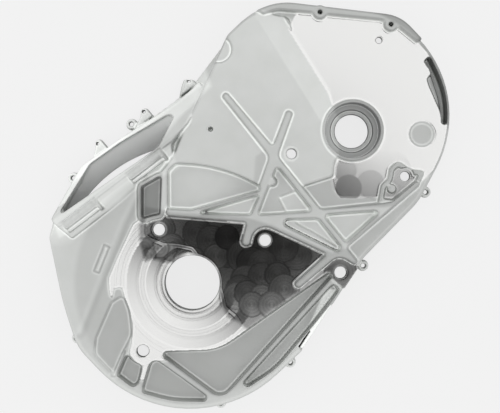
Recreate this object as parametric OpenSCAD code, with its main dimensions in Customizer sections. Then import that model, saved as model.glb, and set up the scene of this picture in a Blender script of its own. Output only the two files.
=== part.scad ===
// Inner clutch cover of a belt drive: one aluminium casting, machined on its engine side.
// The origin is the middle of the crank bore on the machined face, +X runs to the driven
// bore, and +Z points to the engine. The open side of the tub looks down.

/* [Cover] */
// Distance from the crank bore to the driven bore
bore_pitch = 250; // [230:1:290]
// Depth of the tub, from the machined face down to the rim
tub_depth = 50; // [42:1:70]
// Thickness of the cast skin
skin = 4.5; // [3.5:0.1:6]
// Thickness of the side wall
side_wall = 4; // [3.5:0.1:6]
// Radius of the round end of the tub about the crank bore
crank_end_r = 145; // [143:1:149]
// Radius of the round end of the tub about the driven bore
driven_end_r = 127; // [124:1:132]

/* [Crank bore] */
// Diameter of the crank bore
crank_bore_d = 62; // [50:0.5:64]
// Length of the crank bore's collar below the machined face
crank_collar = 18; // [12:1:36]
// Wall of the crank bore's collar
collar_wall = 5; // [4:0.5:6]
// Rise of each turned step round the crank bore
step_rise = 1; // [0.5:0.1:1.5]

/* [Driven shaft bearing] */
// Outer diameter of the bearing that seats in the boss
bearing_d = 62; // [52:1:64]
// Depth of the bearing seat
bearing_depth = 16; // [12:0.5:18]
// Diameter of the hole for the driven shaft
shaft_hole_d = 38; // [30:0.5:42]
// Wall of the bearing boss at its top
boss_wall = 3.6; // [3:0.1:5]
// Height of the bearing boss above the machined face
boss_rise = 5; // [3:0.5:8]

/* [Mounting holes] */
// Diameter of the four engine mounting holes
engine_hole_d = 13.5; // [11:0.5:14]
// Diameter of the two gearbox mounting holes
gearbox_hole_d = 11; // [8.5:0.5:12]
// Thickness of the casting at each mounting hole
pad_depth = 9; // [7:0.5:12]
// Diameter of the rim screw holes
rim_hole_d = 5.5; // [4:0.5:6.5]
// Outer radius of a rim screw ear
ear_r = 7; // [6:0.5:8]
// Thickness of a rim screw ear
ear_depth = 9; // [6:0.5:14]

/* [Ribs and pockets] */
// Height of the rib tops above the machined face
rib_top = 9; // [7:0.5:12]
// Height of the cast plate above the machined face
plate_top = 3; // [2:0.5:5]
// Drop from the machined face to the cast shelf round it
shelf_drop = 2; // [1.5:0.5:3]
// Drop from the machined face to the gearbox face
gearbox_drop = 1.2; // [0.5:0.1:1.4]
// Depth of the deep pockets below the shelf
deep_pocket = 13; // [8:1:16]
// Draft of a pocket's or a rib's wall over its whole height
wall_draft = 1.8; // [0.5:0.1:2.2]

/* [Cooling duct] */
// Height of the duct's near edge above the machined face
duct_top = 12; // [8:1:16]
// Slope of the duct's mouth in degrees
duct_slope = 42; // [36:1:46]
// Reach of the two clamp lips
lip_reach = 7; // [4:0.5:9]

/* [Hidden] */
cast_grey = [0.72, 0.73, 0.73];
$fn = 96;
over = 3;
rim_z = -tub_depth;
shelf_z = -shelf_drop;
gearbox_z = -gearbox_drop;
pocket_z = -1;
patch_z = -3;
deep_z = shelf_z - deep_pocket;
ceiling_z = shelf_z - skin;
crank_r = crank_bore_d / 2;
bearing_r = bearing_d / 2;
boss_r = bearing_r + boss_wall;
boss_end_z = boss_rise - bearing_depth - 11;

// The holes that fasten the cover, on the engine side and on the gearbox side
engine_holes = [[14, 69.5], [92.7, -22], [129.5, -107], [-93.5, -17.5]];
gearbox_holes = [[181.7, 28.5], [257.3, -78.5]];
// Directions of the three notches in the floor of the bearing seat
seat_notches = [138, 22, -100];
lip_holes = [[314.5, 122], [363, 57]];
plate_hole = [134.5, 111.5];
drain_hole = [342, 53.5];
rim_ears = [[-20, 183.5], [72.5, 182.5], [15.3, -146.7], [155, -123.5], [267, -111.3],
    [-76, -125], [-145.5, 45]];
ramp_lugs = [
    [[2, 179, 2], [34, 178, 2], [35, 196, 4], [28, 198, 3], [22, 191, 2]],
    [[64, 174, 2], [98, 170, 2], [99, 185, 4], [92, 188, 3], [86, 182, 2]],
    [[131, 165, 2], [161, 162, 2], [161, 171.5, 3], [153, 179, 3], [145, 175, 2]]];
lug_holes = [[28.5, 192.5], [93, 182.5], [155.2, 172.2]];

// The outline at the rim and at the shoulder, as matching corners [x, y, radius], anticlockwise
rim_corners = [
    [-148.5, 0.5 - crank_end_r, crank_end_r + 1.5], [36, 0.5 - crank_end_r, 20],
    [160, -115.8, 60], [250, -112.5, 60],
    [379.8, 57.2 - driven_end_r, driven_end_r + 1.5], [379.8, 58, 45],
    [279, 178.8, 70], [222, 178.8, 12], [150, 167, 30], [96, 173.5, 40], [-3, 187, 12],
    [-72, 165, 8], [-87, 151, 6], [-125, 87, 300], [-148.5, 37, 60]];
shoulder_corners = [
    [-147, 2 - crank_end_r, crank_end_r], [36, 2 - crank_end_r, 20],
    [160, -114.3, 60], [250, -111, 60],
    [378.3, 58.6 - driven_end_r, driven_end_r], [378.3, 57.2, 45],
    [279, 177.3, 70], [222, 177.3, 12], [100, 129, 25], [84, 138, 10], [-3, 156, 30],
    [-64, 160, 8], [-84, 150, 6], [-123.5, 86, 300], [-147, 36.8, 60]];

// The cast plate between the ribs and the round driven end
plate_corners = [
    [40, 72, 5], [94, 13, 3], [110, -14, 10], [138, -84, 3], [153, -91, 2], [221, -91.5, 2],
    [164, -41, 6], [164, -7.5, 1], [198, -24, 4], [208, -15, 4],
    [222, -8, 3], [250, 20, 5], [252, 36, 3], [262.5, 52, 25], [277.5, 126, 12],
    [286, 142, 8], [266, 172.5, 3], [246, 176.5, 20], [222, 176.5, 12], [100, 128, 25],
    [84, 120, 6], [58, 116, 3], [34, 119, 3], [20, 100, 10]];
// The machined face on the engine
pad_corners = [
    [-3, 94, 3], [-38, 80.5, 30], [-66, 68.5, 8], [-75, 57, 6], [-80, 47.5, 1], [-68.5, 56.5, 4],
    [-61, 50.5, 4], [-69, 37, 30], [-80, 13, 40], [-97, -2.5, 15], [-107.5, -9, 8],
    [-108.5, -22, 12], [-104.5, -30, 6], [-119, -38.5, 1], [-114, -44, 1], [-102, -37, 6],
    [-92, -36, 4], [-86, -40, 2], [-70, -55, 10], [-30, -82, 40], [118, -102, 4],
    [119.5, -123.3, 1], [148, -117, 1], [152, -104, 3], [150, -60, 5], [120, -10, 10],
    [80, 30, 10], [45, 84, 5], [14, 92, 8]];
// The machined face on the gearbox
gearbox_corners = [
    [186.5, -44.5, 9], [222, -78, 2], [224, -94, 2], [284, -96.5, 2],
    [373.3, 62.2 - driven_end_r, driven_end_r - 5], [373.3, 60, 30], [300, 142, 20],
    [268, 130, 10], [230, 20, 10], [205, -8, 3], [189, -33, 7]];

// The raised ribs, as one outline that the pockets are cut from
rib_corners = [
    [31.5, 76, 3], [93, 7, 3], [70, -7.5, 3.8], [76.5, -13.3, 3.8], [100, 3.5, 17],
    [134, -81.5, 3], [83, -80, 2.8], [83, -86.5, 2.8], [142, -90, 14], [147.8, -110.8, 1.6],
    [151.6, -110.8, 1.6], [153.3, -90, 4], [262, -96, 2], [262, -91.3, 2], [226, -89.5, 6],
    [161.5, -40, 8], [168, 37.5, 10], [214.5, 61, 3], [211.5, 67.5, 3], [171, 48, 3],
    [176, 129.5, 3.2], [169.2, 129.5, 3.2], [161.5, 43, 10], [131, 27.5, 3], [112, 34, 3],
    [62, 64, 3], [42, 82, 3]];
// Pockets between the ribs
crossing_pocket = [[105, 5, 3], [155, -37, 4], [161.5, 31.5, 4]];
long_pocket = [[113, -8, 5], [142.5, -88, 4], [150.5, -88, 4], [154, -45, 8]];
corner_pocket = [[156, -87, 4], [214.5, -89, 4], [159, -44, 4]];
thin_rib_pocket = [[51.5, 58, 2], [100.5, 9.5, 3], [125.5, 19.5, 2]];
rib_pockets = [crossing_pocket, long_pocket, corner_pocket, thin_rib_pocket];
// The lower patch that runs through three of them
low_patch = [[137, 3, 1], [131, -18, 8], [132, -35, 20], [138, -52, 20], [149, -92, 3],
    [222, -92, 3], [222, -25, 3], [163, -8, 3]];
// Deeper pockets beside the crossing
fan_pocket = [[37, 79.5, 3], [55.5, 60, 3], [127, 22, 3], [131.5, 27, 4], [117, 74, 180],
    [79.5, 111.5, 7], [67, 111.5, 6]];
slant_pocket = [[0, 84.5, 4], [14, 88.5, 14], [27, 80, 3], [60, 112.5, 3], [33, 119, 3]];
side_pockets = [fan_pocket, slant_pocket];
// Deep pockets of the round crank end
deep_pockets = [
    [[-84, -27.5, 4.5], [-67.5, -119.3, 14], [120.8, -104.5, 3], [120.8, -97.6, 3],
        [-31, -75.5, 60]],
    [[-128.5, -50.4, 4], [-109.5, -81.4, 100], [-81.4, -109.4, 4], [-76, -105, 4],
        [-89.8, -33.2, 7], [-99.6, -33.7, 5]],
    [[-40, -121.5, 4], [-36, -130, 6], [2, -136.6, 90], [60, -130, 60], [115.5, -121.5, 4],
        [116.5, -110, 4]],
    [[-135, -17.5, 3], [-131, -41.5, 5], [-122, -40.5, 3], [-105.5, -29.5, 5],
        [-110.5, -17, 12], [-108, -6, 3]]];
flank_recess = [[-136.5, -14, 2], [-112, -3.5, 3], [-90, 4, 20], [-74, 25, 30], [-66, 44, 5],
    [-82, 47, 4], [-122, 30, 8], [-136.5, 18, 12]];

// The raised lip round the upper edge of the driven end
lip_corners = [[263, 173.8, 1], [266, 164, 2], [281, 156.5, 12], [306, 128.5, 3],
    [317.5, 114.5, 3], [357.5, 68.5, 3], [366.5, 49, 6], [370, 22, 1.5], [377.9, 20, 1.5],
    [377.9, 57.2, 45], [289.5, 163.7, 69.5]];
kidney_ledge = [[363.5, -15, 1], [351.5, -15, 4], [347.5, -23, 12], [337, -52, 20],
    [331, -62, 1.5], [334, -64.5, 1.5], [352, -40, 60], [363.5, -20, 1]];
kidney_slot = [[362.3, 1.6, 3], [361.2, -9, 4], [344.5, -45.8, 100], [328, -64, 2],
    [332.3, -68.6, 2], [356.4, -47.1, 110], [372.2, 1.6, 3]];
loop_corners = [[226, -92, 3], [262, -95, 2], [277, -89.5, 3], [267, -78, 12], [263, -60.5, 7],
    [251, -60, 7], [241, -67.5, 6], [231, -67.5, 5], [215, -79, 2]];

// The duct in its own axes, where the first runs along the near edge
duct_at = [10, 140, 0];
duct_turn = -6.3;
near_slope = 40;
duct_outer = [[-74, -19, 3], [72, -19, 3], [84, -3, 8], [112, 4, 8], [172, 38, 4],
    [176, 46, 2], [140, 37.5, 20], [112, 36, 30], [40, 42.5, 60], [-18, 44.5, 12],
    [-81, 13.5, 6]];
scoop_outer = [[-74, -19, 3], [72, -19, 3], [84, -3, 8], [112, 12, 12], [114, 33, 10],
    [40, 42.5, 60], [-18, 44.5, 12], [-81, 13.5, 6]];
duct_mouth = [[-71, 11.5, 2], [62, 5, 3], [69, 5.5, 3], [104, 24, 3], [97, 29.5, 3],
    [36, 38, 60], [-8, 39.5, 5]];
lip_spans = [[-70, -23], [21, 69]];
scoop_r = 159;
scoop_end_r = 210;
scoop_z = rim_z + 3;
scoop_slope = 34;

// Geometry of rounded outlines

function unit(v) = v / norm(v);
function left_of(v) = [-v[1], v[0]];
function flat(c) = [c[0], c[1]];
function wrap(i, n) = (i + n) % n;
function ramp(x, from, to) = min(1, max(0, (x - from) / (to - from)));
function turn_of(p, q, s) = acos(min(1, unit(q - p) * unit(s - q)));
function bends_left(p, q, s) = (q - p)[0] * (s - q)[1] - (q - p)[1] * (s - q)[0] > 0;

// Moves an outline with the bore, and with the ends when they grow
function placed_x(x) = x + (bore_pitch - 250) * ramp(x, 100, 215)
    + (driven_end_r - 127) * ramp(x, 300, 355) - (crank_end_r - 145) * ramp(-x, 80, 125);
function placed(corners) = [for (c = corners) [placed_x(c[0]), c[1], c[2]]];

// Number of chords at a corner, which keeps each chord near its arc
function chords(turn, r) = max(1, ceil(turn / min(30, max(5, 2 * acos(1 - 0.12 / r)))));
function chord_counts(c) = [for (i = [0 : len(c) - 1])
    chords(turn_of(flat(c[wrap(i - 1, len(c))]), flat(c[i]), flat(c[wrap(i + 1, len(c))])),
        c[i][2])];

function corner_arc(p, q, s, r, n) =
    let (u = unit(p - q), v = unit(s - q), half = acos(u * v) / 2,
        centre = q + unit(u + v) * (r / sin(half)), start = q + u * (r / tan(half)) - centre,
        sweep = (bends_left(p, q, s) ? 1 : -1) * (180 - 2 * half),
        from = atan2(start[1], start[0]))
    [for (k = [0 : n]) centre + r * [cos(from + sweep * k / n), sin(from + sweep * k / n)]];
function ring(c, counts) = [for (i = [0 : len(c) - 1])
    each corner_arc(flat(c[wrap(i - 1, len(c))]), flat(c[i]), flat(c[wrap(i + 1, len(c))]),
        c[i][2], counts[i])];

// The same outline with its sides moved in by d, or out where d is negative
function inset(c, d) = [for (i = [0 : len(c) - 1])
    let (p = flat(c[wrap(i - 1, len(c))]), q = flat(c[i]), s = flat(c[wrap(i + 1, len(c))]),
        a = left_of(unit(q - p)), b = left_of(unit(s - q)), m = (a + b) / (1 + a * b))
    [q[0] + d * m[0], q[1] + d * m[1], max(0.3, c[i][2] - (bends_left(p, q, s) ? d : -d))]];
function between(a, b, t) = [for (i = [0 : len(a) - 1]) a[i] * (1 - t) + b[i] * t];

// Cuts an outline into triangles, one ear at a time
function side_of(a, b, p) = (b[0] - a[0]) * (p[1] - a[1]) - (b[1] - a[1]) * (p[0] - a[0]);
function holds(a, b, c, p) = side_of(a, b, p) >= 0 && side_of(b, c, p) >= 0
    && side_of(c, a, p) >= 0;
function is_ear(pts, ids, k) =
    let (a = ids[wrap(k - 1, len(ids))], b = ids[k], c = ids[wrap(k + 1, len(ids))])
    side_of(pts[a], pts[b], pts[c]) > 0 && len([for (j = ids)
        if (j != a && j != b && j != c && holds(pts[a], pts[b], pts[c], pts[j])) j]) == 0;
function find_ear(pts, ids, k) = k >= len(ids) ? 0 : is_ear(pts, ids, k) ? k
    : find_ear(pts, ids, k + 1);
function ears(pts, ids) = len(ids) < 3 ? []
    : let (n = len(ids), k = find_ear(pts, ids, 0))
    concat([[ids[wrap(k - 1, n)], ids[k], ids[wrap(k + 1, n)]]],
        ears(pts, [for (j = [0 : n - 1]) if (j != k) ids[j]]));

// A solid through rings of points, one above the other
module loft(rings, heights) {
    n = len(rings[0]);
    last = (len(rings) - 1) * n;
    ids = [for (i = [0 : n - 1]) i];
    polyhedron(
        points = [for (i = [0 : len(rings) - 1]) for (p = rings[i]) [p[0], p[1], heights[i]]],
        faces = concat(
            ears(rings[0], ids),
            [for (t = ears(rings[len(rings) - 1], ids)) [t[2] + last, t[1] + last, t[0] + last]],
            [for (k = [0 : len(rings) - 2]) for (i = ids)
                [k * n + i, (k + 1) * n + i, (k + 1) * n + (i + 1) % n]],
            [for (k = [0 : len(rings) - 2]) for (i = ids)
                [k * n + i, (k + 1) * n + (i + 1) % n, k * n + (i + 1) % n]]),
        convexity = 8);
}

// An outline carried up through levels, each given as [height, inset]
module tapered(corners, levels) {
    counts = chord_counts(corners);
    loft([for (l = levels) ring(inset(corners, l[1]), counts)], [for (l = levels) l[0]]);
}
module pocket(corners, top, floor, draft = wall_draft)
    tapered(placed(corners), [[floor, draft], [top + over, -draft * over / (top - floor)]]);

// The tub's side, between the rim's outline and the shoulder's
module tub_side(levels) {
    rim = placed(rim_corners);
    shoulder = placed(shoulder_corners);
    counts = chord_counts(rim);
    loft([for (l = levels) ring(inset(between(rim, shoulder, l[2]), l[1]), counts)],
        [for (l = levels) l[0]]);
}

// What lies above the sloping wing, sunk by a given depth
module above_wing(sunk)
    translate([-136, 42.5, shelf_z - sunk]) rotate([0, 0, 24.4]) rotate([-7.6, 0, 0])
        translate([-60, 0, 0]) cube([300, 190, 60]);

module tub_outside()
    difference() {
        tub_side([[rim_z, 0, 0], [-14, 0, 1], [shelf_z - 4, 1.3, 1], [shelf_z - 1.2, 3.4, 1],
            [shelf_z, 6.5, 1]]);
        above_wing(0);
    }
module tub_inside()
    difference() {
        tub_side([[rim_z - 1, side_wall, 0], [-16, side_wall + 0.5, 1],
            [ceiling_z, side_wall + 6, 1]]);
        above_wing(skin);
    }

// The duct's collar, with its mouth sloping down to the outside
module at_duct() translate(duct_at) rotate([0, 0, duct_turn]) children();
module along_duct(from, to)
    at_duct() translate([from, 0, 0]) rotate([90, 0, 90]) linear_extrude(height = to - from)
        children();
module duct_collar()
    intersection() {
        at_duct() tapered(duct_outer, [[rim_z, 0.4], [-5, 0.8], [duct_top + 4, 2.6]]);
        along_duct(-150, 150) polygon([[-40, rim_z - 1], [-40, duct_top - 40 * tan(near_slope)],
            [0, duct_top], [60, duct_top - 60 * tan(duct_slope)], [60, rim_z - 1]]);
    }
// Each clamp lip has a groove behind it, a lower ledge before it and a stop at its end
module duct_lips()
    for (s = lip_spans) {
        along_duct(s[0], s[1] - 5) polygon([[-lip_reach - 5, duct_top - 12],
            [-lip_reach - 5, duct_top - 5.5], [-lip_reach - 1, duct_top - 4.5],
            [-lip_reach, duct_top - 0.8], [1 - lip_reach, duct_top], [-1.6, duct_top],
            [-1, duct_top - 1], [0, duct_top - 1], [0.6, duct_top], [3, duct_top],
            [3, duct_top - 12]]);
        along_duct(s[1] - 3.4, s[1]) polygon([[-lip_reach - 7, duct_top - 12],
            [-lip_reach - 6, duct_top - 4.5], [-lip_reach - 1, duct_top - 1], [-2, duct_top],
            [3, duct_top], [3, duct_top - 12]]);
    }
module duct_underside()
    along_duct(-66, 66) polygon([[-16, -16], [-16, duct_top - skin - 3 - 16 * tan(near_slope)],
        [-1.5, duct_top - skin - 3], [3, duct_top - skin - 7], [3, -16]]);

// The scoop inside the duct's mouth, turned about the crank bore
module scoop_region(lift, from_r)
    rotate_extrude($fn = 180) polygon([[from_r, rim_z - 1],
        [from_r, scoop_z + lift + (from_r - scoop_r) * tan(scoop_slope)],
        [scoop_end_r, scoop_z + lift + (scoop_end_r - scoop_r) * tan(scoop_slope)],
        [scoop_end_r, rim_z - 1]]);
module scoop()
    difference() {
        intersection() {
            at_duct() tapered(scoop_outer, [[rim_z, 1.6], [-20, 1.8]]);
            scoop_region(0, scoop_r);
        }
        intersection() {
            at_duct() tapered(scoop_outer, [[rim_z - 1, 5], [-20, 6]]);
            scoop_region(-6, scoop_r + 4);
        }
    }
module mouth_cut()
    difference() {
        at_duct() tapered(duct_mouth, [[rim_z - 1, 0.6], [duct_top + 4, -0.4]]);
        scoop_region(0, scoop_r);
    }

// Skin below the pockets and the slot
module pocket_cups()
    intersection() {
        tub_side([[rim_z, 1, 0], [-14, 1, 1], [shelf_z - 3, 2.6, 1]]);
        union() {
            for (c = deep_pockets)
                tapered(placed(c), [[deep_z - skin, -0.8], [ceiling_z + 1, -3.4]]);
            for (c = side_pockets)
                tapered(placed(c), [[-9.5 - skin, -0.8], [ceiling_z + 1, -3.4]]);
            tapered(placed(flank_recess), [[shelf_z - 3 - skin, -0.8], [ceiling_z + 1, -3]]);
            tapered(placed(kidney_slot), [[-20 - skin, -2.6], [ceiling_z + 1, -4.5]]);
            tapered(placed(kidney_ledge), [[-7 - skin, -2], [ceiling_z + 1, -3]]);
        }
    }

// The cast plate, which slopes down to the gearbox face at its round end
module plate()
    difference() {
        tapered(placed(plate_corners), [[shelf_z - 4, 0.2], [plate_top - 2, 0.8],
            [plate_top, 2.4]]);
        translate([placed_x(262.9), 54.3, gearbox_z]) rotate([0, 0, 78.4])
            rotate([atan((plate_top - gearbox_z) / 27), 0, 0]) translate([-30, 0, 0])
            cube([160, 60, 30]);
    }

module raised_faces() {
    tapered(placed(pad_corners), [[shelf_z - 2, -0.6], [0, 0]]);
    tapered(placed(gearbox_corners), [[shelf_z - 2, -0.6], [gearbox_z, 0]]);
    plate();
    tapered(placed(rib_corners), [[pocket_z - 2, -wall_draft], [rib_top, 0]]);
    tapered(placed(slant_pocket), [[shelf_z - 2, -5], [plate_top, -3.6]]);
    tapered(placed(lip_corners), [[shelf_z - 3, 0.1], [4.5, 0.3], [6, 1.4]]);
}

// Turned steps on the cast side of the crank bore, milled away on the other
module turned_steps()
    intersection() {
        rotate_extrude() polygon([[crank_r - 2, -4], [78, -4], [75.5, 0], [74, 0.2 * step_rise],
            [64, step_rise], [52.5, step_rise], [44, 2 * step_rise], [crank_r - 2, 2 * step_rise]]);
        linear_extrude(height = 20, center = true) polygon([[-85, -85], [6, -85], [9, -60],
            [7, -45], [22, -20], [26, 28], [17, 41], [6, 53], [0, 66], [-2, 90], [-85, 90]]);
    }

module post(at, z, r1, r2, h)
    translate([placed_x(at[0]), at[1], z]) cylinder(r1 = r1, r2 = r2, h = h);
module bosses() {
    translate([0, 0, -crank_collar]) cylinder(r = crank_r + collar_wall, h = crank_collar - 1);
    translate([bore_pitch, 0, boss_end_z])
        cylinder(r1 = boss_r + 2.5, r2 = boss_r, h = boss_rise - boss_end_z);
    for (p = engine_holes) post(p, -pad_depth, 11, 12.5, pad_depth - 1);
    for (p = gearbox_holes) post(p, -pad_depth, 10, 11, pad_depth - 2);
    for (p = lip_holes) post(p, -22, 7.4, 8, 28);
    post(plate_hole, -14, 6, 7, 15);
    for (p = rim_ears) post(p, rim_z, ear_r, ear_r - 1, ear_depth);
    for (c = ramp_lugs) tapered(placed(c), [[rim_z, 0], [-36, 1.5]]);
    post([236.5, -78], -3, 5.5, 4.5, plate_top + 4.5);
}

module loop_wall()
    difference() {
        tapered(placed(loop_corners), [[shelf_z - 2, -1.5], [plate_top + 1.5, 0]]);
        tapered(placed(loop_corners), [[gearbox_z - 1, 5.5], [plate_top + over, 3.6]]);
    }

// Raised pads round the two narrow slots of the crank end
module slot_pad(at, turn, tilt, length, width)
    translate(at) rotate([0, 0, turn]) rotate([tilt, 0, 0]) difference() {
        tapered([[-length, -width, 2], [length, -width, 2], [length, width, 2],
            [-length, width, 2]], [[-3, -1], [1.6, 0]]);
        tapered([[2.4 - length, 2.2 - width, 1], [length - 2.4, 2.2 - width, 1],
            [length - 2.4, width - 2.2, 1], [2.4 - length, width - 2.2, 1]], [[-1.5, 0.2], [3, 0]]);
    }

module round_holes() {
    translate([0, 0, rim_z]) cylinder(r = crank_r, h = tub_depth + 20);
    translate([0, 0, 2 * step_rise - 2]) cylinder(r1 = crank_r, r2 = crank_r + 4, h = 4);
    translate([bore_pitch, 0, 0]) {
        translate([0, 0, boss_rise - bearing_depth]) cylinder(r = bearing_r, h = 40);
        translate([0, 0, boss_rise - 1]) cylinder(r1 = bearing_r, r2 = bearing_r + 2, h = 2);
        translate([0, 0, boss_rise - bearing_depth - 3]) cylinder(r = bearing_r - 7, h = 20);
        translate([0, 0, rim_z]) cylinder(r = shaft_hole_d / 2, h = tub_depth);
    }
    for (a = seat_notches)
        translate([bore_pitch + (bearing_r - 6.8) * cos(a), (bearing_r - 6.8) * sin(a),
            boss_rise - bearing_depth - 2.9]) cylinder(r = 2.4, h = 8);
    for (p = engine_holes) {
        post(p, rim_z, engine_hole_d / 2, engine_hole_d / 2, tub_depth + 20);
        post(p, rim_z - 1, engine_hole_d / 2 + 3.5, engine_hole_d / 2 + 3.5,
            tub_depth + 1 - pad_depth);
    }
    for (p = gearbox_holes)
        post(p, rim_z, gearbox_hole_d / 2, gearbox_hole_d / 2, tub_depth + 20);
    post(gearbox_holes[0], plate_top - 0.7, 8.6, 8.6, 9);
    post(gearbox_holes[1], gearbox_z - 0.2, 10, 10, 9);
    for (p = lip_holes) post(p, -10, 2.5, 2.5, 20);
    post(plate_hole, plate_top - 12, 2.5, 2.5, 20);
    post(drain_hole, -20, 3.5, 3.5, 30);
    for (p = rim_ears) post(p, rim_z - 1, rim_hole_d / 2, rim_hole_d / 2, ear_depth + 2);
    for (p = lug_holes) post(p, rim_z - 1, 2, 2, 20);
    post([304, -57], gearbox_z - 3, 12, 15, 3.1);
    post([203, 171], plate_top - 6, 14.5, 15.5, 10);
}

module pockets() {
    difference() {
        for (c = rib_pockets) pocket(c, rib_top, pocket_z);
        post([144, 20.5], pocket_z - 1, 6, 4.2, rib_top - pocket_z + 0.5);
    }
    for (c = [crossing_pocket, long_pocket, corner_pocket])
        intersection() {
            tapered(placed(c), [[patch_z, wall_draft + 0.6], [pocket_z + 0.5, wall_draft + 0.1]]);
            tapered(placed(low_patch), [[patch_z, 0.8], [pocket_z + 0.6, -0.4]]);
        }
    for (c = side_pockets) pocket(c, rib_top, -9.5);
    for (c = deep_pockets) pocket(c, 0, deep_z);
    pocket(flank_recess, shelf_z, shelf_z - 3);
    pocket(kidney_ledge, gearbox_z, -7, 0.8);
    pocket(kidney_slot, gearbox_z, -20, 0.6);
    translate([36.6, -134.4, deep_z]) rotate([0, 0, 7.7]) rotate([90, 0, 90])
        linear_extrude(height = 61)
            polygon([[0, 0], [-24, -24 * tan(42)], [-24, 40], [0, 40]]);
}

module clutch_cover()
    color(cast_grey) difference() {
        union() {
            difference() {
                union() {
                    tub_outside();
                    duct_collar();
                }
                tub_inside();
                duct_underside();
            }
            scoop();
            duct_lips();
            pocket_cups();
            raised_faces();
            turned_steps();
            bosses();
            loop_wall();
            slot_pad([-56, 90, -3.6], 24.4, -7.6, 17, 4.3);
            slot_pad([-123.8, -8.7, shelf_z], 24.9, 0, 17, 3.8);
        }
        pockets();
        mouth_cut();
        round_holes();
    }

clutch_cover();
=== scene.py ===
"""Looks of the clutch cover: a cast aluminium shell with milled faces, seen from above."""
import math

import bpy
import numpy as np
import openvdb as vdb
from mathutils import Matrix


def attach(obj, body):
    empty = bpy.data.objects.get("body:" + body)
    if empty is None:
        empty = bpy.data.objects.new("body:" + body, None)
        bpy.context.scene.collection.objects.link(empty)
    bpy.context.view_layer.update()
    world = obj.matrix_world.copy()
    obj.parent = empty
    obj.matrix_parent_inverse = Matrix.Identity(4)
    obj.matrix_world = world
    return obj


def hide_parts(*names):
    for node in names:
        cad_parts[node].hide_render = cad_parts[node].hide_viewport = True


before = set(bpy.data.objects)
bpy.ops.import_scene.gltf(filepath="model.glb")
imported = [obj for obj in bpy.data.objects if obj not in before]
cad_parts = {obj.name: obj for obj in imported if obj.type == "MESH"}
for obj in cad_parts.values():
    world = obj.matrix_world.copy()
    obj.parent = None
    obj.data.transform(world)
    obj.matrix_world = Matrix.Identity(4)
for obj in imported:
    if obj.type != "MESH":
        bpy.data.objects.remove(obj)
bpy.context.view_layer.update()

NODE = "clutch_cover"
BODY = "root"

# Lengths in this script are millimetres in the CAD frame until a mesh is made.
VOXEL = 1.06
# Half the width of the distance field in voxels, the blur that rounds the cast edges, and the
# reach over which the surface's bending is measured
BAND = 5
CAST_SOFTNESS = 0.8
EDGE_REACH = 1.0
RIM_Z = -50.0
ENGINE_Z = 0.0
GEARBOX_Z = -1.2

# The photograph was taken from straight above, with the part turned about the view's axis.
CAMERA_HEIGHT = 1250.0
CAMERA_FOOT = (106.7, 17.5)
CAMERA_TURN = 43.51
CAMERA_LENS = 79.65
SENSOR = 36.0
# The dark disc above the camera, in metres
CARD_Z = 1.4
CARD_R = 0.24

CRANK_R = 31.0
DRIVEN_X = 250.0
SEAT_R = 31.0
# Radii just outside the walls of the two bores
CRANK_WALL_R = 31.6
SEAT_WALL_R = 32.5
# How far the turned steps round the crank bore reach
STEPS_R = 80.0
# The round ends of the casting, as x, y and radius
CRANK_END = (-2.0, 2.0, 145.0)
DRIVEN_END = (251.5, 22.0, 127.0)
CAST_ROUGHNESS = 0.42
MILLED_ROUGHNESS = 0.2
BOWL_ROUGHNESS = 0.13
CAST_DARKER = (0.60, 0.615, 0.595)
CAST_LIGHTER = (0.69, 0.70, 0.69)
MILLED_COLOUR = (0.82, 0.82, 0.81)
TURNED_COLOUR = (0.62, 0.63, 0.62)
# Pale colour painted into the duct's mouth as painted light
DUCT_MOUTH_PAINTED_LIGHT = (0.88, 0.89, 0.88)
FLOOR_COLOUR = (0.86, 0.86, 0.86)
FLOOR_GLOW = (0.879, 0.879, 0.879, 1)
FLOOR_GLOW_SHARE = 0.9
FLOOR_HALF = 6.0
CARD_COLOUR = (0.02, 0.02, 0.018)
HORIZON_LIGHT = 1.35
OVERHEAD_LIGHT = 1.0

# Round cuts with crisp edges, each as x, y, radius, lowest and highest level of its wall
FILLED_HOLES = [
    (0, 0, CRANK_R, -18, 1.9), (14, 69.5, 6.75, -9, 0), (92.7, -22, 6.75, -9, 0),
    (129.5, -107, 6.75, -9, 0), (-93.5, -17.5, 6.75, -9, 0), (181.7, 28.5, 5.5, -9, 2.3),
    (257.3, -78.5, 5.5, -9, -1.4), (314.5, 122, 2.5, -10, 6), (363, 57, 2.5, -10, 6),
    (134.5, 111.5, 2.5, -9, 3), (342, 53.5, 3.5, -8, -1.2), (DRIVEN_X, 0, SEAT_R, -11, 5),
    (DRIVEN_X, 0, 24, -14, -11), (DRIVEN_X, 0, 19, -22, -14)]
# Directions of the notches in the bearing seat, their distance from its axis and their radius
SEAT_NOTCHES = [138, 22, -100]
NOTCH_AT = 24.2
NOTCH_R = 2.4

# The machined faces
ENGINE_FACE = [
    (-3, 94), (-38, 80.5), (-66, 68.5), (-75, 57), (-80, 47.5), (-68.5, 56.5), (-61, 50.5),
    (-69, 37), (-80, 13), (-97, -2.5), (-107.5, -9), (-108.5, -22), (-104.5, -30),
    (-119, -38.5), (-114, -44), (-102, -37), (-92, -36), (-86, -40), (-70, -55), (-30, -82),
    (118, -102), (119.5, -124), (148, -118), (152, -104), (150, -60), (120, -10), (80, 30),
    (45, 84), (14, 92)]
GEARBOX_FACE = [
    (187.5, -38), (187.5, -48), (222, -78), (224, -94), (284, -96.5), (314, -85), (343, -61),
    (362, -33), (372, -2), (373, 60), (300, 142), (268, 130), (230, 20), (205, -8)]
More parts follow.
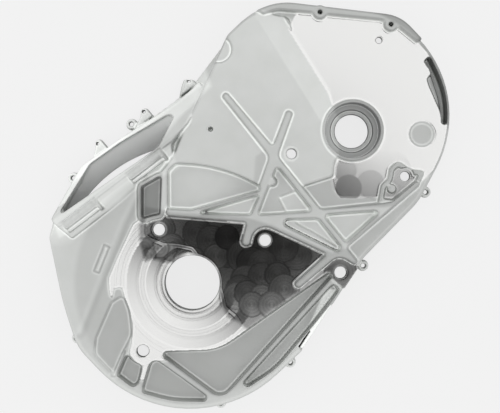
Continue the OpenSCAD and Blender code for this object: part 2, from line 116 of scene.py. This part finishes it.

# Outlines that differ in painted light and shade: the plate, lighter than the shelf round it, the
# pocket beside the fan, the small loop, the flank's hollow, the mouth of the duct and the slot at
# the driven end
PLATE = [
    (36, 119), (20, 100), (40, 72), (94, 13), (110, -14), (138, -84), (153, -91), (221, -91.5),
    (164, -41), (164, -7.5), (198, -24), (208, -15), (222, -8), (250, 20), (252, 36),
    (262.5, 52), (277.5, 126), (286, 142), (266, 172.5), (222, 176), (100, 128), (84, 120)]
SLANT_POCKET = [(0, 84.5), (14, 88.5), (27, 80), (60, 112.5), (33, 119)]
LOOP = [(226, -92), (262, -95), (277, -89.5), (267, -78), (263, -60.5), (251, -60),
        (241, -67.5), (231, -67.5), (215, -79)]
FLANK = [(-136.5, -14), (-112, -3.5), (-90, 4), (-74, 25), (-66, 44), (-82, 47), (-122, 30),
         (-136.5, 18)]
DUCT_MOUTH = [(-59.4, 159.2), (72.2, 138.2), (79.2, 138), (116, 152.4), (109.7, 158.6),
              (50, 173.8), (6.4, 180.1)]
KIDNEY = [(353, 2), (347, -23), (326, -64), (335, -72), (364, -42), (375, 2)]

# The two lips beside the duct, which get painted light, the floors between the ribs, which get
# painted shade, and the cut at the rim
LIPS = [(-68, 160), (-76, 141), (-14, 126), (20, 124), (47, 112), (78, 105), (89, 129),
        (54, 144), (-2, 151)]
RIB_FLOORS = [(150, 54), (102, 10), (160, -38), (170, 50)]
RIM_CUT = [(36, -138), (106, -110), (120, -132), (52, -158)]
# The duct's skirt, where it runs out into the tub's wall, which gets painted light
SKIRT = [(62, 158), (122, 155), (152, 176), (190, 190), (168, 146), (120, 146), (72, 139)]
# The fold in the flank's sloping wall, drawn by a painted highlight with a painted shade beside
# it
FOLD = [(-131, 48.8), (-11, 105), (37, 122)]

# The bowl's floor, finished with a small cutter to a mirror that shows the dark room; its colour
# is also darkened there as painted reflection of that dark room
DARK_BOWL = [(3, 90), (-10, 76), (-22, 54), (-14, 50), (-6, 38), (0, 31), (20, 28), (30, 8),
             (32, -8), (10, -34), (2, -56), (8, -70), (8, -84), (26, -88), (118, -96),
             (116, -124), (146, -132), (166, -104), (150, -60), (120, -10), (80, 30), (45, 90)]
# Where the small cutter stood in the bowl, as x, y, radius and tone. The places were read from
# an enlarged photo, and the tones are chosen one by one.
# The marks are real cutter marks; their tones, lighter and darker across each mark, are painted
# sheen and painted reflection
MILL_MARKS = [
    (15, 69, 18, 0.80), (11, 45, 16, 0.75), (-6, 61, 12, 0.55), (0, 53, 11, 0.90),
    (14, 19, 19, 0.90), (43, 37, 17, 0.70), (49, 20, 17, 0.80), (52, -3, 17, 0.60),
    (40, 3, 15, 1.00), (64, 10, 14, 0.45), (62, -18, 19, 0.80), (93, -22, 17, 0.70),
    (107, -59, 17, 0.80), (103, -42, 17, 0.75), (65, -30, 18, 0.55), (72, -39, 17, 0.85),
    (46, -40, 18, 0.80), (62, -50, 17, 0.75), (34, -43, 17, 0.60), (26, -45, 16, 0.85),
    (37, -51, 15, 0.60), (46, -66, 15, 0.90), (32, -64, 15, 0.70), (76, -60, 15, 0.70),
    (70, -77, 18, 0.80), (48, -80, 16, 0.80), (-12, 66, 12, 0.80), (-14, 56, 9, 0.60),
    (129.5, -107, 19, 0.50)]
# The marks beside the bearing, in the same form, with painted sheen as a gradient across each
FACE_MARKS = [(246, -62, 27, 0.84), (218, -46, 25, 0.78), (213, -27, 13, 0.68),
              (223, -58, 16, 0.56), (202, -44, 15, 0.36)]
MARK_AXIS = math.radians(46.5)
# The turned bands, darkened towards the bowl by painted reflection of the dark room, as two
# radii, and the directions they end in
TURNED_BANDS = [(39, 52), (61, 74)]
BAND_ENDS = (100.0, 282.0)

# Tones from here on are set against the photo, where light alone doesn't give them.
# How light the cast shelf, the underside and the upright walls are against the plate: painted
# shade on the shelf and the upright walls, and one even tone on the underside
SHELF_SHADE_TONE = 0.77
UNDERSIDE_TONE = 0.85
WALL_SHADE_TONE = 0.52
# Painted shade that darkens the cast skin along its outer edges, and painted highlight that
# lightens its inner corners
EDGE_SHADE = 0.38
CORNER_HIGHLIGHT = 0.3
# Outlines of painted shade and painted light on the cast at every height, as outline, change
# and soft edge: painted shade in the flank's hollow and the slant pocket, painted light on the
# lips
SHADE_AND_LIGHT_REGIONS = [(FLANK, -0.12, 4.0), (SLANT_POCKET, -0.50, 3.0), (LIPS, 0.14, 3.0)]
# How much darker the milled metal is painted: painted reflection of the dark room in the bowl
# and in its turned bands, painted shade in the small loop, a darker ring at the crank bore,
# painted shade on the slopes inside the bowl, and painted shade on the cast wall of the bearing
# seat
BOWL_PAINTED_REFLECTION = 0.58
BAND_PAINTED_REFLECTION = 0.70
LOOP_SHADE = 0.35
BORE_DARK = 0.15
SLOPE_SHADE = 0.6
SEAT_WALL_SHADE = 0.45
# How much darker the rib tops are; the painted shade in the deep pockets, on the floors between
# the ribs, in the slot at the driven end and on the band outside it; the painted light on the
# duct's outside; and how much lighter the rim's cut is
RIB_TOP_DARK = 0.08
POCKET_SHADE = 0.14
RIB_FLOOR_SHADE = 0.14
KIDNEY_SHADE = 0.30
END_BAND_SHADE = 0.30
DUCT_SIDE_PAINTED_LIGHT = 0.30
RIM_CUT_LIGHT = 0.90
# How much painted light brightens the tub's shoulder and all of the tub, and the lightest tone
SHOULDER_PAINTED_LIGHT = 0.14
TUB_PAINTED_LIGHT = 0.18
LIGHTEST = 1.35

# Level that parts the deck from the tub, and where each of them is parted along the length
TUB_TOP = -8
DECK_SPLIT = (60, 200)
TUB_SPLIT = (10, 210)


def node_triangles(name):
    """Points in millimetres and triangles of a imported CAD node."""
    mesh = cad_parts[name].data
    mesh.calc_loop_triangles()
    points = np.empty(len(mesh.vertices) * 3, np.float32)
    mesh.vertices.foreach_get("co", points)
    tris = np.empty(len(mesh.loop_triangles) * 3, np.int32)
    mesh.loop_triangles.foreach_get("vertices", tris)
    return points.reshape(-1, 3) * 1000.0, tris.reshape(-1, 3)


def signed_distance(points, tris):
    """A dense array of distances to the surface, negative inside, and its first voxel."""
    transform = vdb.createLinearTransform(voxelSize=VOXEL)
    grid = vdb.FloatGrid.createLevelSetFromPolygons(
        points, triangles=tris.astype(np.uint32), transform=transform, halfWidth=BAND)
    low, high = grid.evalActiveVoxelBoundingBox()
    low = np.array(low) - 2
    shape = tuple(int(v) for v in np.array(high) - low + 3)
    field = np.full(shape, BAND * VOXEL, np.float32)
    grid.copyToArray(field, ijk=tuple(int(v) for v in low))
    return field, low


def blurred(field, sigma):
    """The field after a Gaussian blur, which rounds its edges and fills its corners."""
    reach = int(math.ceil(3 * sigma))
    weights = np.exp(-0.5 * (np.arange(-reach, reach + 1) / sigma) ** 2)
    weights = (weights / weights.sum()).astype(np.float32)
    for axis in range(field.ndim):
        pad = [(0, 0)] * field.ndim
        pad[axis] = (reach, reach)
        wide = np.pad(field, pad, mode="edge")
        out = np.zeros_like(field)
        for k, w in enumerate(weights):
            cut = [slice(None)] * field.ndim
            cut[axis] = slice(k, k + field.shape[axis])
            out += w * wide[tuple(cut)]
        field = out
    return field


def region_distance(px, py, corners):
    """Distance in the plane to an outline, negative inside it."""
    best = np.full(px.shape, 1e9)
    within = np.zeros(px.shape, bool)
    for (ax, ay), (bx, by) in zip(corners, corners[1:] + corners[:1]):
        dx, dy = bx - ax, by - ay
        t = np.clip(((px - ax) * dx + (py - ay) * dy) / (dx * dx + dy * dy), 0, 1)
        best = np.minimum(best, (px - ax - t * dx) ** 2 + (py - ay - t * dy) ** 2)
        crosses = (ay > py) != (by > py)
        with np.errstate(divide="ignore", invalid="ignore"):
            within ^= crosses & (px < (bx - ax) * (py - ay) / (by - ay) + ax)
    return (np.sqrt(best) * np.where(within, -1, 1)).astype(np.float32)


def polygons_of(field, low):
    """The surface of a distance field, as points in millimetres, triangles and quads."""
    grid = vdb.FloatGrid(BAND * VOXEL)
    grid.copyFromArray(field, ijk=tuple(int(v) for v in low), tolerance=0.0)
    grid.transform = vdb.createLinearTransform(voxelSize=VOXEL)
    return grid.convertToPolygons(isovalue=0.0, adaptivity=0.0)


def sample(field, low, points):
    """The field's value at points, by linear interpolation."""
    at = points / VOXEL - low
    cell = np.clip(np.floor(at).astype(int), 0, np.array(field.shape) - 2)
    f = (at - cell).astype(np.float32)
    out = np.zeros(len(points), np.float32)
    for i in (0, 1):
        for j in (0, 1):
            for k in (0, 1):
                w = (np.where(i, f[:, 0], 1 - f[:, 0]) * np.where(j, f[:, 1], 1 - f[:, 1])
                     * np.where(k, f[:, 2], 1 - f[:, 2]))
                out += w * field[cell[:, 0] + i, cell[:, 1] + j, cell[:, 2] + k]
    return out


def surface_normals(field, low, points):
    """Outward normals from the field's slope, so that shading is smooth across pieces."""
    step = 0.5 * VOXEL
    out = np.empty((len(points), 3), np.float32)
    for axis in range(3):
        move = np.zeros(3)
        move[axis] = step
        out[:, axis] = sample(field, low, points + move) - sample(field, low, points - move)
    out /= np.maximum(np.linalg.norm(out, axis=1, keepdims=True), 1e-6)
    return out


def bending(field, low, points, normals):
    """How sharply the surface bends, per millimetre: above zero on edges, below in corners."""
    other = np.zeros_like(normals)
    other[np.arange(len(normals)), np.abs(normals).argmin(axis=1)] = 1
    along = np.cross(normals, other)
    along /= np.linalg.norm(along, axis=1, keepdims=True)
    across = np.cross(normals, along)
    total = -4 * sample(field, low, points)
    for move in (along * EDGE_REACH, across * EDGE_REACH):
        total += sample(field, low, points + move) + sample(field, low, points - move)
    return total / EDGE_REACH ** 2


def make_mesh(name, points, faces, normals):
    """A smooth mesh object in metres from quads given as rows of four corners."""
    used, faces = np.unique(faces, return_inverse=True)
    faces = faces.reshape(-1, 4)
    mesh = bpy.data.meshes.new(name)
    mesh.vertices.add(len(used))
    mesh.vertices.foreach_set("co", (points[used] / 1000.0).astype(np.float32).ravel())
    mesh.loops.add(faces.size)
    mesh.loops.foreach_set("vertex_index", faces.astype(np.int32).ravel())
    mesh.polygons.add(len(faces))
    mesh.polygons.foreach_set("loop_start", np.arange(0, faces.size, 4, dtype=np.int32))
    mesh.update(calc_edges=True)
    mesh.validate()
    mesh.shade_smooth()
    mesh.normals_split_custom_set_from_vertices(normals[used])
    piece = bpy.data.objects.new(name, mesh)
    bpy.context.scene.collection.objects.link(piece)
    return piece, used


def around(axes, x, y, r):
    """Index ranges of the voxels within r of an upright axis, and their distances to it."""
    xs, ys, _ = axes
    i = np.nonzero(np.abs(xs - x) <= r)[0]
    j = np.nonzero(np.abs(ys - y) <= r)[0]
    span = (slice(i[0], i[-1] + 1), slice(j[0], j[-1] + 1))
    away = np.hypot(xs[span[0]][:, None] - x, ys[span[1]][None, :] - y)
    return span, away.astype(np.float32)


def cylinder(axes, x, y, r, low_z, high_z):
    """Distances to an upright cylinder near it, negative inside."""
    span, away = around(axes, x, y, r + 4)
    z = axes[2][None, None, :].astype(np.float32)
    return span, np.maximum(np.maximum((away - r)[:, :, None], z - high_z), low_z - z)


def cast_and_machined():
    """The CAD solid with soft edges, and its round holes, notches and rim cut crisp again."""
    field, low = signed_distance(*node_triangles(NODE))
    axes = [(np.arange(n) + low[i]) * VOXEL for i, n in enumerate(field.shape)]
    for x, y, r, z0, z1 in FILLED_HOLES:
        span, plug = cylinder(axes, x, y, r + 0.4, z0, z1)
        field[span] = np.minimum(field[span], plug)
    field = blurred(field, CAST_SOFTNESS / VOXEL)
    for x, y, r, z0, z1 in FILLED_HOLES:
        span, plug = cylinder(axes, x, y, r, z0 - 3, z1 + 6)
        field[span] = np.maximum(field[span], -plug)
    for turn in SEAT_NOTCHES:
        a = math.radians(turn)
        nx, ny = DRIVEN_X + NOTCH_AT * math.cos(a), NOTCH_AT * math.sin(a)
        span, plug = cylinder(axes, nx, ny, NOTCH_R, -14, 0)
        field[span] = np.maximum(field[span], -plug)
    height = axes[2][None, None, :].astype(np.float32)
    field = np.maximum(field, RIM_Z - height)
    return field, low


def step_down(x, width):
    """One where x is below zero, zero where it is above, and straight between."""
    return np.clip(0.5 - x / width, 0, 1)


def inside(x, y, corners, width=1.2):
    """Weight of an outline at each point, with a soft edge of the given width."""
    return step_down(region_distance(x, y, corners), width)


def below(z, level, fade):
    """One under a level and zero above it, with a fade beneath the level."""
    return np.clip((level - z) / fade, 0, 1)


def above(z, level, fade):
    """One over a level and zero under it, with a fade over the level."""
    return np.clip((z - level) / fade, 0, 1)


def line_distance(x, y, corners):
    """Distance to an open line, positive on its left."""
    best = np.full(x.shape, 1e9)
    for (ax, ay), (bx, by) in zip(corners, corners[1:]):
        dx, dy = bx - ax, by - ay
        t = np.clip(((x - ax) * dx + (y - ay) * dy) / (dx * dx + dy * dy), 0, 1)
        away = np.hypot(x - ax - t * dx, y - ay - t * dy)
        side = np.where(dx * (y - ay) - dy * (x - ax) > 0, away, -away)
        best = np.where(away < np.abs(best), side, best)
    return best


def cast_tone(x, y, z, edge):
    """How light the cast skin is painted at each point against the plate: painted light and
    shade.
    """
    # Painted shade on the cast shelf outside the plate
    tone = SHELF_SHADE_TONE + (1 - SHELF_SHADE_TONE) * inside(x, y, PLATE, 3.0)
    # Painted shade and painted light in the listed outlines
    for corners, change, soft in SHADE_AND_LIGHT_REGIONS:
        tone *= 1 + change * inside(x, y, corners, soft)
    # Rib tops darker, and painted shade in the deep pockets and on the floors between the ribs
    tone *= 1 - RIB_TOP_DARK * above(z, 7.5, 1)
    tone *= 1 - POCKET_SHADE * below(z, -6, 4) * below(y, 60, 20) * above(z, -22, 6)
    rib_floors = inside(x, y, RIB_FLOORS, 3.0) * below(z, 5, 1) * above(z, -2, 1)
    tone *= 1 - RIB_FLOOR_SHADE * rib_floors
    # Painted shade in the slot at the driven end and on the band outside it
    to_rim = DRIVEN_END[2] - np.hypot(x - DRIVEN_END[0], y - DRIVEN_END[1])
    tone *= 1 - KIDNEY_SHADE * inside(x, y, KIDNEY) * below(z, -2, 3) * (to_rim > 3)
    tone *= 1 - END_BAND_SHADE * step_down(to_rim - 6, 3) * (x > 330) * above(z, -12, 6)
    # Painted light on the outside of the duct, the cut at the rim, and the fold in the flank
    # drawn by a painted highlight and shade
    beside_duct = step_down(region_distance(x, y, DUCT_MOUTH) - 25, 20) * (z < -6)
    tone *= 1 + DUCT_SIDE_PAINTED_LIGHT * np.maximum(beside_duct, inside(x, y, SKIRT, 5.0))
    rim_cut = inside(x, y, RIM_CUT, 2.0) * below(z, -13, 2) * above(z, -24, 4)
    tone *= 1 + RIM_CUT_LIGHT * rim_cut
    # A painted highlight along the fold with a painted shade beside it
    fold = line_distance(x, y, FOLD)
    tone *= 1 + 0.08 * np.exp(-(fold / 2.5) ** 2) - 0.12 * np.exp(-((fold + 6) / 3.5) ** 2)
    # Painted shade along the edges and painted highlight in the inner corners; the shade is faint
    # on the tub's shoulder and in the small loop
    on_deck = above(z, -20, 4)
    shoulder = step_down(CRANK_END[2] - 14 - np.hypot(x - CRANK_END[0], y - CRANK_END[1]), 6)
    shoulder *= step_down(x - 60, 20)
    line = EDGE_SHADE * (0.2 + 0.8 * on_deck) * (1 - 0.8 * shoulder)
    line *= 1 - 0.7 * inside(x, y, LOOP, 3.0)
    tone *= 1 - line * above(edge, 0.08, 0.3)
    tone *= 1 + CORNER_HIGHLIGHT * below(edge, -0.08, 0.3)
    # Painted light on the tub's shoulder and on all of the tub below the deck
    tone *= (1 + SHOULDER_PAINTED_LIGHT * shoulder) * (1 + TUB_PAINTED_LIGHT * (1 - on_deck))
    return np.minimum(tone, LIGHTEST)


def milled_tone(x, y):
    """How light the milled metal is painted: marks of cutters that overlap, with painted sheen in
    their tones, turned bands and the bowl darkened by painted reflection, painted shade in the
    small loop and a darker ring at the crank bore.
    """
    tone = np.ones(len(x))
    bowl = inside(x, y, DARK_BOWL, 4.0)
    # Each mark's tone, with a bow-tie of painted sheen across it
    for cx, cy, r, level in MILL_MARKS:
        away = np.hypot(x - cx, y - cy)
        turn = np.arctan2(y - cy, x - cx) - MARK_AXIS
        mark = level * (1 + 0.18 * np.cos(2 * turn) + 0.10 * np.sin(away * 1.7))
        mark = mark * np.where(away > r - 1.4, 0.62, 1.0)
        tone = np.where(away < r, mark, tone)
    tone = 1 + (tone - 1) * bowl
    # Painted sheen across each mark beside the bearing
    for cx, cy, r, level in FACE_MARKS:
        away = np.hypot(x - cx, y - cy)
        slope = ((x - cx) * math.cos(MARK_AXIS) + (y - cy) * math.sin(MARK_AXIS)) / r
        lines = np.sin(np.hypot(x - cx, y - cy - 2.5 * r) * 2.6)
        mark = level * (1 + 0.20 * slope + 0.06 * lines)
        tone += (mark - tone) * step_down(away - r, 1.5)
    # Painted shade in the small loop
    tone *= 1 - LOOP_SHADE * inside(x, y, LOOP, 3.0)
    # Painted reflection of the dark room darkens the turned bands towards their ends
    radius = np.hypot(x, y)
    turn = np.degrees(np.arctan2(y, x)) % 360
    to_end = np.minimum(np.abs(turn - BAND_ENDS[0]), np.abs(turn - BAND_ENDS[1]))
    in_band = np.any([(radius > low) & (radius < high) for low, high in TURNED_BANDS], axis=0)
    tone *= 1 - BAND_PAINTED_REFLECTION * np.exp(-to_end / 30.0) * below(x, 26, 10) * in_band
    tone *= 1 - BORE_DARK * step_down(radius - 35, 1.0)
    # Painted reflection of the dark room darkens the bowl
    return tone * (1 - BOWL_PAINTED_REFLECTION * bowl)


def add_masks(piece, points, normals, edge):
    """Weights and tones at each vertex for the milled faces, the bores, the duct's mouth and the
    cast skin; the tones are mostly painted light, shade, sheen and reflection.
    """
    x, y, z = points.T
    level = above(normals[:, 2], 0.8, 0.15)
    under = below(normals[:, 2], 0, 0.3)
    near_crank = np.hypot(x, y)
    near_driven = np.hypot(x - DRIVEN_X, y)
    bowl = inside(x, y, DARK_BOWL, 4.0)
    on_engine = inside(x, y, ENGINE_FACE, 1.0)
    engine = on_engine * (np.abs(z - ENGINE_Z) < 0.5)
    steps = on_engine * (np.abs(z - 1) < 1.6) * (near_crank < STEPS_R)
    gearbox = inside(x, y, GEARBOX_FACE, 1.0) * (np.abs(z - GEARBOX_Z) < 0.5)
    seat = ((near_driven < SEAT_WALL_R) & (z > -16)) | ((near_crank < CRANK_WALL_R) & (z < 2.5))
    milled = np.maximum(np.maximum(engine * np.maximum(level, bowl), gearbox * level), steps)
    # Painted shade on the slopes inside the bowl
    cut = milled_tone(x, y) * (1 - SLOPE_SHADE * bowl * (1 - level))
    cast = UNDERSIDE_TONE * under + cast_tone(x, y, z, edge) * (1 - under)
    # Painted shade on the upright walls low on the tub
    upright = below(np.abs(normals[:, 2]), 0.3, 0.25) * below(z, -10, 10)
    cast += (WALL_SHADE_TONE - cast) * upright
    # Painted shade on the cast wall of the bearing seat
    in_seat = (near_driven < SEAT_WALL_R) & (z < 2.5)
    cast *= 1 - SEAT_WALL_SHADE * in_seat * (1 - level) * (1 - under)
    masks = {"milled": milled, "turned": seat.astype(float), "bowl": milled * bowl,
             "duct": inside(x, y, DUCT_MOUTH, 2.0) * below(z, -8, 6),
             "tone": milled * cut + (1 - milled) * cast}
    for name, values in masks.items():
        layer = piece.data.attributes.new(name, "FLOAT", "POINT")
        layer.data.foreach_set("value", values.astype(np.float32))


def main_surface():
    """The casting as six pieces, three of the deck and three of the tub below it."""
    field, low = cast_and_machined()
    points, _, quads = polygons_of(field, low)
    quads = np.asarray(quads)
    points = np.asarray(points)
    normals = surface_normals(field, low, points)
    edge = bending(field, low, points, normals)
    centre = points[quads].mean(axis=1)
    upper = centre[:, 2] > TUB_TOP
    pieces = []
    for layer, within, split in (("deck", upper, DECK_SPLIT), ("tub", ~upper, TUB_SPLIT)):
        part = np.digitize(centre[:, 0], split)
        for number, side in enumerate(("left", "middle", "right")):
            chosen = within & (part == number)
            piece, used = make_mesh(layer + "_" + side, points, quads[chosen], normals)
            add_masks(piece, points[used], normals[used], edge[used])
            pieces.append(piece)
            print(piece.name, int(chosen.sum()) * 2, "triangles")
    return pieces


def shader_of(material):
    """The surface shader that a new material starts with."""
    return material.node_tree.nodes["Principled BSDF"]


class Shading:
    """Short calls that add and join the nodes of one material."""

    def __init__(self, name):
        self.material = bpy.data.materials.new(name)
        self.material.use_nodes = True
        self.nodes = self.material.node_tree.nodes
        self.links = self.material.node_tree.links
        self.shader = shader_of(self.material)

    def join(self, value, socket):
        if isinstance(value, (int, float)):
            socket.default_value = value
        elif isinstance(value, tuple):
            socket.default_value = (*value, 1) if len(socket.default_value) == 4 else value
        else:
            self.links.new(value, socket)

    def add(self, kind, settings=None, **values):
        made = self.nodes.new("ShaderNode" + kind)
        for key, value in (settings or {}).items():
            setattr(made, key, value)
        for key, value in values.items():
            self.join(value, made.inputs[key.replace("_", " ")])
        return made

    def math(self, operation, *values):
        made = self.nodes.new("ShaderNodeMath")
        made.operation = operation
        for value, socket in zip(values, made.inputs):
            self.join(value, socket)
        return made.outputs[0]

    def mix(self, share, a, b):
        made = self.nodes.new("ShaderNodeMix")
        coloured = any(isinstance(v, tuple) or getattr(v, "type", "") == "RGBA" for v in (a, b))
        made.data_type = "RGBA" if coloured else "FLOAT"
        sockets = [socket for socket in made.inputs if socket.enabled]
        for value, socket in zip((share, a, b), sockets):
            self.join(value, socket)
        return [socket for socket in made.outputs if socket.enabled][0]

    def mask(self, name):
        return self.add("Attribute", {"attribute_name": name}).outputs["Fac"]


def aluminium():
    """Cast metal with a fine grain, and milled metal with the marks of its cutters."""
    look = Shading("cast_aluminium")
    place = look.add("TexCoord").outputs["Object"]
    axes = look.add("SeparateXYZ", Vector=place).outputs
    milled = look.mask("milled")
    turned = look.mask("turned")
    clouds = look.add("TexNoise", Vector=place, Scale=38.0, Detail=5.0).outputs["Fac"]
    grain = look.add("TexNoise", Vector=place, Scale=1100.0, Detail=2.0).outputs["Fac"]
    tone = look.mix(clouds, CAST_DARKER, CAST_LIGHTER)
    colour = look.mix(milled, tone, MILLED_COLOUR)
    colour = look.mix(turned, colour, TURNED_COLOUR)
    # Painted light and shade: the tone mask scales the colour, and the duct's mouth is painted
    # pale
    duct = look.mask("duct")
    tone = look.add("VectorMath", {"operation": "SCALE"}, Vector=colour, Scale=look.mask("tone"))
    colour = look.mix(duct, tone.outputs[0], DUCT_MOUTH_PAINTED_LIGHT)

    # Rings of the turning tool about the crank bore
    radius = look.math("SQRT", look.math("ADD", look.math("MULTIPLY", axes[0], axes[0]),
                                         look.math("MULTIPLY", axes[1], axes[1])))
    rings = look.add("TexNoise", {"noise_dimensions": "1D"}, W=radius, Scale=420.0,
                     Detail=2.0).outputs["Fac"]
    left = look.add("MapRange", Value=axes[0], From_Min=0.03, From_Max=0.01).outputs[0]
    swirl = look.add("TexNoise", Vector=place, Scale=160.0, Detail=3.0).outputs["Fac"]
    marks = look.mix(left, look.math("MULTIPLY", swirl, 0.3), rings)
    bowl = look.mask("bowl")
    depth = look.math("MULTIPLY", milled, look.mix(bowl, 0.10, 0.04))
    metal_bump = look.add("Bump", Height=marks, Strength=depth, Distance=0.0006)
    cast_bump = look.add("Bump", Height=grain, Normal=metal_bump.outputs[0], Distance=0.0004,
                         Strength=look.math("MULTIPLY", look.math("SUBTRACT", 1.0, milled), 0.12))
    look.join(colour, look.shader.inputs["Base Color"])
    metallic = look.mix(milled, 0.86, 1.0)
    # Nearly non-metallic in the duct's mouth, as part of its painted light
    look.join(look.mix(duct, metallic, 0.1), look.shader.inputs["Metallic"])
    milled_roughness = look.mix(bowl, MILLED_ROUGHNESS, BOWL_ROUGHNESS)
    look.join(look.mix(milled, CAST_ROUGHNESS, milled_roughness), look.shader.inputs["Roughness"])
    look.join(cast_bump.outputs[0], look.shader.inputs["Normal"])
    return look.material


def plain(name, colour):
    """A rough material of one colour."""
    material = bpy.data.materials.new(name)
    material.use_nodes = True
    shader = shader_of(material)
    shader.inputs["Base Color"].default_value = (*colour, 1)
    shader.inputs["Roughness"].default_value = 0.9
    return material


def floor_material():
    """Pale and rough, with a set brightness towards the camera that still keeps the shadow."""
    material = plain("floor", FLOOR_COLOUR)
    nodes, links = material.node_tree.nodes, material.node_tree.links
    glow = nodes.new("ShaderNodeEmission")
    glow.inputs["Color"].default_value = FLOOR_GLOW
    path = nodes.new("ShaderNodeLightPath")
    share = nodes.new("ShaderNodeMath")
    share.operation = "MULTIPLY"
    share.inputs[1].default_value = FLOOR_GLOW_SHARE
    links.new(path.outputs["Is Camera Ray"], share.inputs[0])
    mix = nodes.new("ShaderNodeMixShader")
    links.new(share.outputs[0], mix.inputs[0])
    links.new(shader_of(material).outputs[0], mix.inputs[1])
    links.new(glow.outputs[0], mix.inputs[2])
    links.new(mix.outputs[0], nodes["Material Output"].inputs["Surface"])
    return material


def add_floor():
    """A wide floor at the level of the rim."""
    mesh = bpy.data.meshes.new("floor")
    half, z = FLOOR_HALF, RIM_Z / 1000.0
    mesh.from_pydata([(-half, -half, z), (half, -half, z), (half, half, z), (-half, half, z)],
                     [], [(0, 1, 2, 3)])
    floor = bpy.data.objects.new("floor", mesh)
    bpy.context.scene.collection.objects.link(floor)
    mesh.materials.append(floor_material())


def add_card():
    """A dark disc behind the camera, which the milled face reflects."""
    bpy.ops.mesh.primitive_circle_add(
        vertices=64, radius=CARD_R, fill_type="NGON",
        location=(CAMERA_FOOT[0] / 1000, CAMERA_FOOT[1] / 1000, CARD_Z))
    card = bpy.context.object
    card.name = "dark_card"
    card.data.materials.append(plain("card", CARD_COLOUR))


def add_camera():
    """A camera that looks straight down from above the foot."""
    data = bpy.data.cameras.new("camera")
    data.sensor_width = SENSOR
    data.lens = CAMERA_LENS
    data.clip_end = 50
    camera = bpy.data.objects.new("camera", data)
    camera.location = (CAMERA_FOOT[0] / 1000, CAMERA_FOOT[1] / 1000, CAMERA_HEIGHT / 1000)
    camera.rotation_euler = (0, 0, -math.radians(CAMERA_TURN))
    bpy.context.scene.collection.objects.link(camera)
    bpy.context.scene.camera = camera


def add_world():
    """Soft white light, a little brighter towards the horizon."""
    world = bpy.data.worlds.new("studio")
    bpy.context.scene.world = world
    world.use_nodes = True
    nodes, links = world.node_tree.nodes, world.node_tree.links
    back = nodes["Background"]
    coords = nodes.new("ShaderNodeTexCoord")
    split = nodes.new("ShaderNodeSeparateXYZ")
    links.new(coords.outputs["Generated"], split.inputs[0])
    ramp = nodes.new("ShaderNodeMapRange")
    ramp.inputs["From Min"].default_value = 0.25
    ramp.inputs["From Max"].default_value = 1.0
    ramp.inputs["To Min"].default_value = HORIZON_LIGHT
    ramp.inputs["To Max"].default_value = OVERHEAD_LIGHT
    links.new(split.outputs["Z"], ramp.inputs["Value"])
    links.new(ramp.outputs[0], back.inputs["Strength"])
    back.inputs["Color"].default_value = (1, 1, 1, 1)


bpy.context.scene.view_settings.view_transform = "Standard"
metal = aluminium()
for piece in main_surface():
    piece.data.materials.append(metal)
    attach(piece, BODY)
    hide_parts(NODE)
add_floor()
add_card()
add_camera()
add_world()
